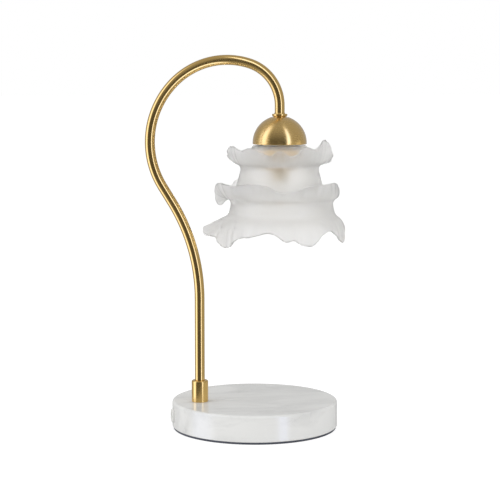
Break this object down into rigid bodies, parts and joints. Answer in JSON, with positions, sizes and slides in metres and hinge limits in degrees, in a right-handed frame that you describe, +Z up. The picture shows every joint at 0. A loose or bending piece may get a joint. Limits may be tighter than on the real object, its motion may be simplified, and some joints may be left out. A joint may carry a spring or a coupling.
{
  "type": "table lamp",
  "caption": "Table lamp with a round marble foot, a bent brass stem that hooks over, and a hanging frosted glass shade with ruffled tiers under a brass dome.",
  "frame": {"origin": "middle of the foot's underside, on the surface the lamp stands on", "axes": "+Z up; the stem stands on the -X side of the foot and the shade hangs on the +X side"},
  "size_m": [0.195, 0.16, 0.3591],
  "materials": {
    "marble": "polished",
    "foot_pad": "matte",
    "inlet_plastic": "satin",
    "zinc_steel": "satin",
    "nut_brass": "satin",
    "satin_brass": "satin",
    "black_nylon": "matte",
    "white_nylon": "matte",
    "foam_tape": "matte",
    "glass_sleeving": "matte",
    "brown_core": "gloss",
    "blue_core": "gloss",
    "white_ceramic": "satin",
    "clear_silicone": "matte",
    "frosted_glass": "matte",
    "bulb_glass": "gloss",
    "pin_steel": "satin",
    "light_stick": "matte"
  },
  "bodies": {
    "root": {"marble_base": "marble", "base_pad": "foot_pad", "cord_bushing": "inlet_plastic", "base_washer": "zinc_steel", "base_lock_washer": "zinc_steel", "base_nut": "nut_brass", "base_nipple": "nut_brass", "nipple_bush": "black_nylon", "terminal_block": "white_nylon", "terminal_barrels": "nut_brass", "terminal_screws": "zinc_steel", "terminal_tape": "foam_tape", "stem_collar": "satin_brass", "stem_tube": "satin_brass", "lead_sleeving": "glass_sleeving", "live_core": "brown_core", "neutral_core": "blue_core", "stem_flange": "satin_brass", "dome_cap": "satin_brass", "dome_lock_washer": "zinc_steel", "dome_nut": "nut_brass", "holder_sleeve": "satin_brass", "holder_bracket": "zinc_steel", "holder_nut": "nut_brass", "lamp_socket": "white_ceramic", "socket_contacts": "nut_brass", "socket_screws": "zinc_steel"},
    "shade": {"glass_shade": "frosted_glass", "upper_gasket": "clear_silicone", "lower_gasket": "clear_silicone"},
    "ring": {"shade_ring": "satin_brass"},
    "bulb": {"bulb_envelope": "bulb_glass", "bulb_base": "white_ceramic", "bulb_pins": "pin_steel", "bulb_light_stick": "light_stick"}
  },
  "joints": [
    {"name": "shade_drop", "type": "slide", "parent": "root", "child": "shade", "axis": [0, 0, -1], "range_m": [0, 0.01]},
    {"name": "ring_turn", "type": "hinge", "parent": "shade", "child": "ring", "pos_m": [0.02434, 0, 0.2665], "axis": [0, 0, -1], "range_deg": [0, 1802]},
    {"name": "bulb_pull", "type": "slide", "parent": "root", "child": "bulb", "axis": [0, 0, -1], "range_m": [0, 0.018]}
  ],
  "couplings": [
    {"joint": "ring_turn", "follows": "shade_drop", "rad_per_m": 3141.6}
  ]
}
